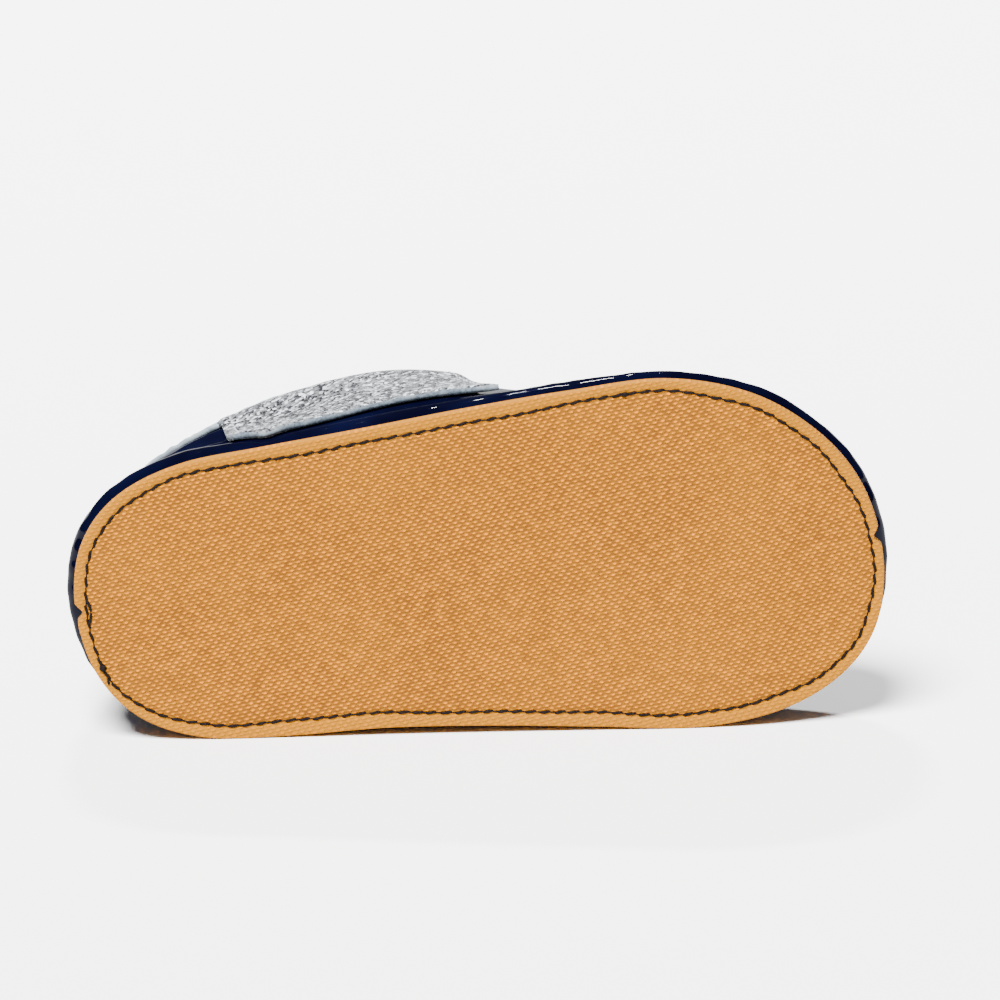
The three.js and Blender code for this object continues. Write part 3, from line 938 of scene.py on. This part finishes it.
def panel_point(along, up, inner, off):
    """A point on a panel, by the shares along and up it and its distance off the upper."""
    low_x = PANEL_REAR_LOW + (PANEL_FRONT_LOW - PANEL_REAR_LOW) * along
    top_x = PANEL_REAR + (PANEL_FRONT - PANEL_REAR) * along
    rise = PANEL_INNER_RISE if inner else 0
    low = level_at(low_x, run_along(PANEL_LOW_EDGE, along) * SIDE_HEIGHT + rise)
    below_binding = level_below_topline(turn_at(np.ravel(top_x), 1), BINDING_WIDTH)
    tucked_in = level_below_topline(turn_at(np.ravel(top_x), below_binding), BINDING_WIDTH - PANEL_TUCK)
    level = low + (tucked_in.reshape(np.shape(along)) - low) * up
    turn = turn_at(low_x + (top_x - low_x) * up, level)
    lift = 0 if inner else PANEL_LIFT * along**3 * (1 - up) ** 2
    turn = 2 * math.pi - turn if inner else turn
    return spring_up(upper_offset(turn, level, upper_relief(turn, level) + FIT_GAP + lift + off))


def eased(count, edge):
    """Shares from 0 to 1 that lie closer together near both ends."""
    near = np.array([0, 0.25, 0.6]) * edge
    return np.concatenate([near, edge + (1 - 2 * edge) * np.linspace(0, 1, count), (1 - near)[::-1]])


def panel_shell(inner):
    """A silver panel as a closed shell with a rounded cut edge, and the slot of each face."""
    along, up = np.meshgrid(eased(*PANEL_STEPS["along"]), eased(*PANEL_STEPS["up"]), indexing="ij")
    to_edge = np.minimum(np.minimum(along, 1 - along) * PANEL_LENGTH, np.minimum(up, 1 - up) * PANEL_RISE)
    thick = PANEL_THICKNESS * (0.8 + 0.2 * smooth(0, 0.9, to_edge))
    wave = 0.1 * np.sin(along * 41) + 0.08 * np.sin(along * 23 + 1)
    seam = 0.16 * np.exp(-(((to_edge - PANEL_SEAM_INSET) / 0.45) ** 2))
    front = panel_point(along, up, inner, thick - seam + wave * 0.5 * (1 - smooth(0, 5, to_edge)))
    back = panel_point(along, up, inner, 0)
    rows, columns = along.shape
    outer_quads, _ = grid_faces(rows, columns)
    inner_quads = outer_quads[:, ::-1] + rows * columns
    index = np.arange(rows * columns).reshape(rows, columns)
    border = np.concatenate([index[:-1, 0], index[-1, :-1], index[:0:-1, -1], index[0, :0:-1]])
    after = np.roll(border, -1)
    walls = np.stack([border, border + rows * columns, after + rows * columns, after], 1)
    faces = np.concatenate([outer_quads, inner_quads, walls])
    slots = np.repeat([0, 1], [len(outer_quads), len(inner_quads) + len(walls)])
    return np.concatenate([front.reshape(-1, 3), back.reshape(-1, 3)]), faces.tolist(), slots


def panel_stitches(inner):
    """The stitches of a panel, along its lower edge and up its two ends."""
    share = np.linspace(0, 1, PANEL_SEAM_POINTS)
    inset_x, inset_z = PANEL_SEAM_INSET / PANEL_LENGTH, PANEL_SEAM_INSET / PANEL_RISE
    low_edge = inset_x + (1 - 2 * inset_x) * share
    ends = inset_z + (1 - inset_z) * share
    still = np.ones(PANEL_SEAM_POINTS)
    rows = []
    for along, up in ((low_edge, still * inset_z), (still * inset_x, ends), (still * (1 - inset_x), ends)):
        path = panel_point(along, up, inner, PANEL_THICKNESS - 0.02)
        out = path - panel_point(along, up, inner, PANEL_THICKNESS - 0.3)
        rows.append(stitch_row(path, out, pitch=2.3, share=0.74, radius=0.2, sink=0.25, seed=7))
    return joined(rows)


def binding_shell():
    """The folded strip over the topline, gathered round the heel: a closed loop of points at each
    angle, up its outer face, over the topline, down the inner face and back along the leather."""
    turns = round_the_shoe(BINDING_POINTS)
    low = level_below_topline(turns, BINDING_WIDTH)
    heel = 0.35 + 0.65 * smooth(0.1, 0.8, (1 + np.cos(turns)) / 2)
    gather = heel * (0.5 * np.sin(turns * 58 + 1.5 * np.sin(turns * 7)) + 0.3 * np.sin(turns * 93 + 2))
    lining = -UPPER_WALL - FIT_GAP
    outside, inside = FIT_GAP + BINDING_THICKNESS, lining - BINDING_THICKNESS
    wall_up = upper_face(turns, 1) - upper_face(turns, 0.99)
    wall_up /= np.linalg.norm(wall_up, axis=1, keepdims=True)

    def strip(share, off):
        """A line at a share of the strip's width, a distance off the upper."""
        return upper_offset(turns, low + (1 - low) * share, off)

    loop = []
    for share, thick in ((0, -0.25), (0.04, 0.05), (0.2, 0.1), (0.34, -0.14), (0.5, 0.12), (0.75, 0.16)):
        gathered = 0.22 * gather * math.sin(math.pi * min(1, share + 0.25))
        loop.append(strip(share, outside + thick + gathered))
    for angle in np.linspace(0, math.pi, 9):
        across = (outside + inside) / 2 + (outside - inside) / 2 * math.cos(angle)
        height = FIT_GAP + (1.45 * BINDING_THICKNESS + 0.16 * gather) * math.sin(angle)
        loop.append(strip(1, across + 0.14 * gather * math.cos(angle)) + wall_up * height[:, None])
    loop.extend(strip(share, inside - 0.1 * gather) for share in (0.75, 0.5, 0.2, 0))
    loop.extend(strip(share, lining) for share in (0, 0.5))
    loop.extend(strip(1, off) + wall_up * FIT_GAP for off in (lining, FIT_GAP))
    loop.extend(strip(share, FIT_GAP) for share in (0.5, 0))
    return spring_up(np.stack(loop, 1))


def binding_stitches():
    """The row of stitches along the binding."""
    turns = np.linspace(0, 2 * math.pi, BINDING_SEAM_POINTS)
    low = level_below_topline(turns, BINDING_WIDTH)
    level = low + (1 - low) * 0.3
    path = spring_up(upper_offset(turns, level, FIT_GAP + BINDING_THICKNESS + 0.02))
    out = path - spring_up(upper_offset(turns, level, FIT_GAP))
    return stitch_row(path, out, pitch=2.5, share=0.74, radius=0.22, sink=0.3, seed=9)


# The user's sizes and colours


def length_property(name, words, value, least):
    return bpy.props.FloatProperty(name=name, description=words, default=value, min=least, unit="LENGTH")


def colour_property(name, words, value):
    return bpy.props.FloatVectorProperty(name=name, description=words, default=linear(value), size=3, min=0,
                                         max=1, subtype="COLOR")


class ShoeSizes(bpy.types.PropertyGroup):
    weave_pitch: length_property("Weave Pitch", "Distance between the sole's pips", 0.93 * MM, 0.3 * MM)
    stitch_pitch: length_property("Stitch Pitch", "Length of the sole's stitches", 2.45 * MM, 1 * MM)
    thread_radius: length_property("Thread Radius", "Half the thread's thickness", 0.27 * MM, 0.1 * MM)
    camera_distance: length_property("Camera Distance", "From the camera to the sole", 2.0, 0.3)


class ShoeColours(bpy.types.PropertyGroup):
    sole: colour_property("Sole", "Tan rubber outside the seam", (138, 88, 6))
    # The sole's shade and deep colours are painted shade in the weave's gaps, and its light colour is the
    # painted highlight on the pips.
    sole_painted_gap_shade: colour_property("Sole Shade", "Rubber between the pips", (128, 79, 8))
    sole_painted_deep_shade: colour_property("Sole Deep", "Rubber in the deepest gaps", (96, 56, 12))
    sole_painted_highlight: colour_property("Sole Light", "Rubber on the pips", (200, 117, 6))
    patent: colour_property("Patent", "Navy patent leather", (2, 2, 13))
    patent_light: colour_property("Patent Light", "Navy where it is lighter", (4, 5, 25))
    lining: colour_property("Lining", "Lining and footbed", (192, 180, 162))
    lining_dark: colour_property("Lining Dark", "Lining where it is darker", (152, 138, 120))
    glitter: colour_property("Glitter", "Silver leather", (84, 86, 89))
    glitter_dark: colour_property("Glitter Dark", "Between the flakes", (18, 19, 24))
    glitter_bright: colour_property("Glitter Bright", "The brightest flakes", (215, 218, 221))
    edge: colour_property("Cut Edge", "Cut edges and binding", (98, 110, 120))
    edge_dark: colour_property("Cut Edge Dark", "Between the fibres", (54, 63, 74))
    edge_light: colour_property("Cut Edge Light", "Worn fibres", (150, 158, 163))
    thread: colour_property("Thread", "Thread of the sole's seam", (16, 6, 6))
    thread_grey: colour_property("Grey Thread", "Thread of the panels and the binding", (170, 176, 182))
    floor: colour_property("Floor", "Studio floor", (252, 252, 252))


def user_colours():
    return bpy.context.scene.shoe_colours


def user_sizes():
    return bpy.context.scene.shoe_sizes


# One operator for each piece or group of like pieces, and one for the stage


class SHOE_OT_outsole(bpy.types.Operator):
    """Make the tan rubber outsole"""
    bl_idname = "shoe.outsole"
    bl_label = "Outsole"

    def execute(self, context):
        insets = (0.25, 0.6, 1, 1.4, 1.65, 1.85, 2.1, SEAM_INSET, 2.5, 2.75, 3.05, 3.45, 4)
        dips = [(0.08, 0.04)] + [(inset, seam_trough(inset)) for inset in insets]
        points, depth = plate_rings(0, 0, SOLE_THICKNESS, SOLE_ROUNDING, dips, seam_shift)
        made = make_plate("rubber_outsole", points)
        inside = made.data.attributes.new("inside_seam", "FLOAT", "POINT")
        inside.data.foreach_set("value", smooth(SEAM_INSET - 0.4, SEAM_INSET + 0.8, depth).astype(np.float32))
        wear(made, [tan_rubber(user_colours(), user_sizes())], node="outsole")
        return {"FINISHED"}


class SHOE_OT_sole_seam(bpy.types.Operator):
    """Sew the seam through the outsole, doubled and knotted at the heel"""
    bl_idname = "shoe.sole_seam"
    bl_label = "Sole Seam"

    def execute(self, context):
        pitch, radius = user_sizes().stitch_pitch / MM, user_sizes().thread_radius / MM
        down = (0, 0, -1)
        path = seam_line(np.linspace(0, 2 * math.pi, SEAM_POINTS)) + (0, 0, SEAM_DEPTH)
        row = stitch_row(path, down, pitch, share=0.88, radius=radius, sink=0.26, seed=3, slant=0.17)
        at_heel = path[(path[:, 0] < SOLE_LENGTH / 2) & (np.abs(path[:, 1]) < DOUBLE_REACH)]
        double = at_heel[np.argsort(at_heel[:, 1])]
        double[:, 0] += DOUBLE_BOW * np.sin(np.linspace(0, math.pi, len(double)))
        double[:, 2] -= DOUBLE_HEIGHT
        second_row = stitch_row(double, down, pitch, share=1.05, radius=radius, sink=0.2, seed=5)
        knots = [knot(seam_line(np.array(turn), inset), size) for inset, turn, size in SEAM_KNOTS]
        # Painted shade of the seam's groove, as a thin dark tube of thread along it.
        groove_shade = seam_groove_shade_tube(path, radius * 0.4)
        made = make_object("sole_seam_thread", *joined([row, groove_shade, second_row, *knots]))
        wear(made, [waxed_thread("navy_thread", user_colours().thread, 0.7)])
        return {"FINISHED"}


class SHOE_OT_upper(bpy.types.Operator):
    """Make the patent upper with its folds and its lining"""
    bl_idname = "shoe.upper"
    bl_label = "Upper"

    def execute(self, context):
        loop, outer_end = upper_shell()
        rows, columns = loop.shape[:2]
        quads, column = grid_faces(rows, columns, close_rows=True, close_columns=True)
        slots = np.where((column >= outer_end) & (column < columns - 1), 1, 0)
        made = make_object("patent_upper", loop.reshape(-1, 3), quads.tolist(), slots)
        leather = [navy_patent(user_colours()), suede_lining(user_colours())]
        wear(made, leather, node="upper")
        return {"FINISHED"}


class SHOE_OT_panels(bpy.types.Operator):
    """Make the silver panels with their cut edges and stitches"""
    bl_idname = "shoe.panels"
    bl_label = "Side Panels"

    def execute(self, context):
        leather = [silver_glitter(user_colours()), raw_edge(user_colours())]
        thread = waxed_thread("grey_thread", user_colours().thread_grey, 0.5)
        for inner, node in ((False, "panel_outer"), (True, "panel_inner")):
            wear(make_object("silver_" + node, *panel_shell(inner)), leather, node=node)
            wear(make_object(node + "_stitches", *panel_stitches(inner)), [thread])
        return {"FINISHED"}


class SHOE_OT_binding(bpy.types.Operator):
    """Fold the grey binding over the topline and stitch it"""
    bl_idname = "shoe.binding"
    bl_label = "Topline Binding"

    def execute(self, context):
        loop = binding_shell()
        quads, _ = grid_faces(*loop.shape[:2], close_rows=True, close_columns=True)
        strip = make_object("grey_topline_binding", loop.reshape(-1, 3), quads.tolist())
        wear(strip, [grey_binding(user_colours())], node="topline_binding")
        stitches = make_object("binding_stitches", *binding_stitches())
        wear(stitches, [waxed_thread("binding_thread", user_colours().thread_grey, 0.5)])
        return {"FINISHED"}


class SHOE_OT_insole(bpy.types.Operator):
    """Lay the leather footbed into the shoe"""
    bl_idname = "shoe.insole"
    bl_label = "Insole"

    def execute(self, context):
        flat = [(0.1, 0), (1, 0), (3, 0)]
        points, _ = plate_rings(INSOLE_INSET, INSOLE_BASE, INSOLE_THICKNESS, INSOLE_ROUNDING, flat)
        made = make_plate("leather_insole", points)
        wear(made, [footbed_leather(user_colours())], node="insole")
        return {"FINISHED"}


class SHOE_OT_stage(bpy.types.Operator):
    """Set up the floor, the soft lights and the camera"""
    bl_idname = "shoe.stage"
    bl_label = "Stage"

    def execute(self, context):
        self.lay_floor()
        self.dim_surround()
        self.hang_lights()
        self.set_camera()
        return {"FINISHED"}

    def lay_floor(self):
        corners = [(x * FLOOR_REACH, y * FLOOR_REACH, 0) for x, y in ((-1, -1), (1, -1), (1, 1), (-1, 1))]
        mesh = bpy.data.meshes.new("floor")
        mesh.from_pydata(corners, [], [(0, 1, 2, 3)])
        mesh.materials.append(studio_floor(user_colours()))
        floor = add_object("floor", mesh)

    def dim_surround(self):
        world = bpy.data.worlds.new("studio")
        bpy.context.scene.world = world
        world.use_nodes = True
        background = world.node_tree.nodes["Background"]
        background.inputs["Color"].default_value = (1, 1, 1, 1)
        background.inputs["Strength"].default_value = WORLD_STRENGTH

    def hang_lights(self):
        overhead = bpy.data.lights.new("overhead_light", "SUN")
        overhead.energy = OVERHEAD_STRENGTH
        overhead.angle = OVERHEAD_ANGLE
        add_object("overhead_light", overhead).rotation_euler = OVERHEAD_TURN
        strip = bpy.data.lights.new("strip_light", "AREA")
        strip.shape = "RECTANGLE"
        strip.size, strip.size_y = STRIP_SIZE
        strip.energy = STRIP_POWER
        hung = add_object("strip_light", strip)
        hung.location = STRIP_PLACE
        hung.rotation_euler = (Vector(STRIP_TARGET) - Vector(STRIP_PLACE)).to_track_quat("-Z", "Y").to_euler()

    def set_camera(self):
        """Look at the sole from the photograph's side, with its axis where the photograph has it."""
        distance = user_sizes().camera_distance
        lens = bpy.data.cameras.new("camera")
        lens.sensor_width = SENSOR_WIDTH
        lens.lens = PIXELS_PER_MM / MM * distance * SENSOR_WIDTH / PICTURE_SIDE
        along, inner, up = TURNED.T
        back = -inner * math.sin(VIEW_OFF_NORMAL) - up * math.cos(VIEW_OFF_NORMAL)
        sideways = np.cross(along, back)
        sideways *= -np.sign(sideways @ inner)
        right = along * math.cos(AXIS_RISE) - sideways * math.sin(AXIS_RISE)
        over = along * math.sin(AXIS_RISE) + sideways * math.cos(AXIS_RISE)
        across = (PICTURE_SIDE / 2 - HEEL_PIXEL[0]) / PIXELS_PER_MM
        rise = (HEEL_PIXEL[1] - PICTURE_SIDE / 2) / PIXELS_PER_MM
        place = MOVED + (right * across + over * rise) * MM + back * distance
        camera = add_object("camera", lens)
        camera.matrix_world = Matrix(np.vstack([np.stack([right, over, back, place], 1), (0, 0, 0, 1)]))
        bpy.context.scene.camera = camera


class SHOE_PT_panel(bpy.types.Panel):
    """Lists the shoe's sizes, colours and pieces"""
    bl_idname = "SHOE_PT_panel"
    bl_label = "Barefoot Shoe"
    bl_space_type = "VIEW_3D"
    bl_region_type = "UI"
    bl_category = "Shoe"

    def draw(self, context):
        layout = self.layout
        for group in (user_sizes(), user_colours()):
            for name in group.bl_rna.properties.keys():
                if name not in ("rna_type", "name"):
                    layout.prop(group, name)
        for operator in OPERATORS:
            layout.operator(operator.bl_idname)


OPERATORS = (SHOE_OT_outsole, SHOE_OT_sole_seam, SHOE_OT_upper, SHOE_OT_panels, SHOE_OT_binding,
             SHOE_OT_insole, SHOE_OT_stage)
CLASSES = (ShoeSizes, ShoeColours, *OPERATORS, SHOE_PT_panel)


def register():
    for each in CLASSES:
        bpy.utils.register_class(each)
    bpy.types.Scene.shoe_sizes = bpy.props.PointerProperty(type=ShoeSizes)
    bpy.types.Scene.shoe_colours = bpy.props.PointerProperty(type=ShoeColours)


def unregister():
    del bpy.types.Scene.shoe_sizes
    del bpy.types.Scene.shoe_colours
    for each in reversed(CLASSES):
        bpy.utils.unregister_class(each)


def main():
    register()
    for operator in OPERATORS:
        group, name = operator.bl_idname.split(".")
        getattr(getattr(bpy.ops, group), name)()


if __name__ == "__main__":
    main()
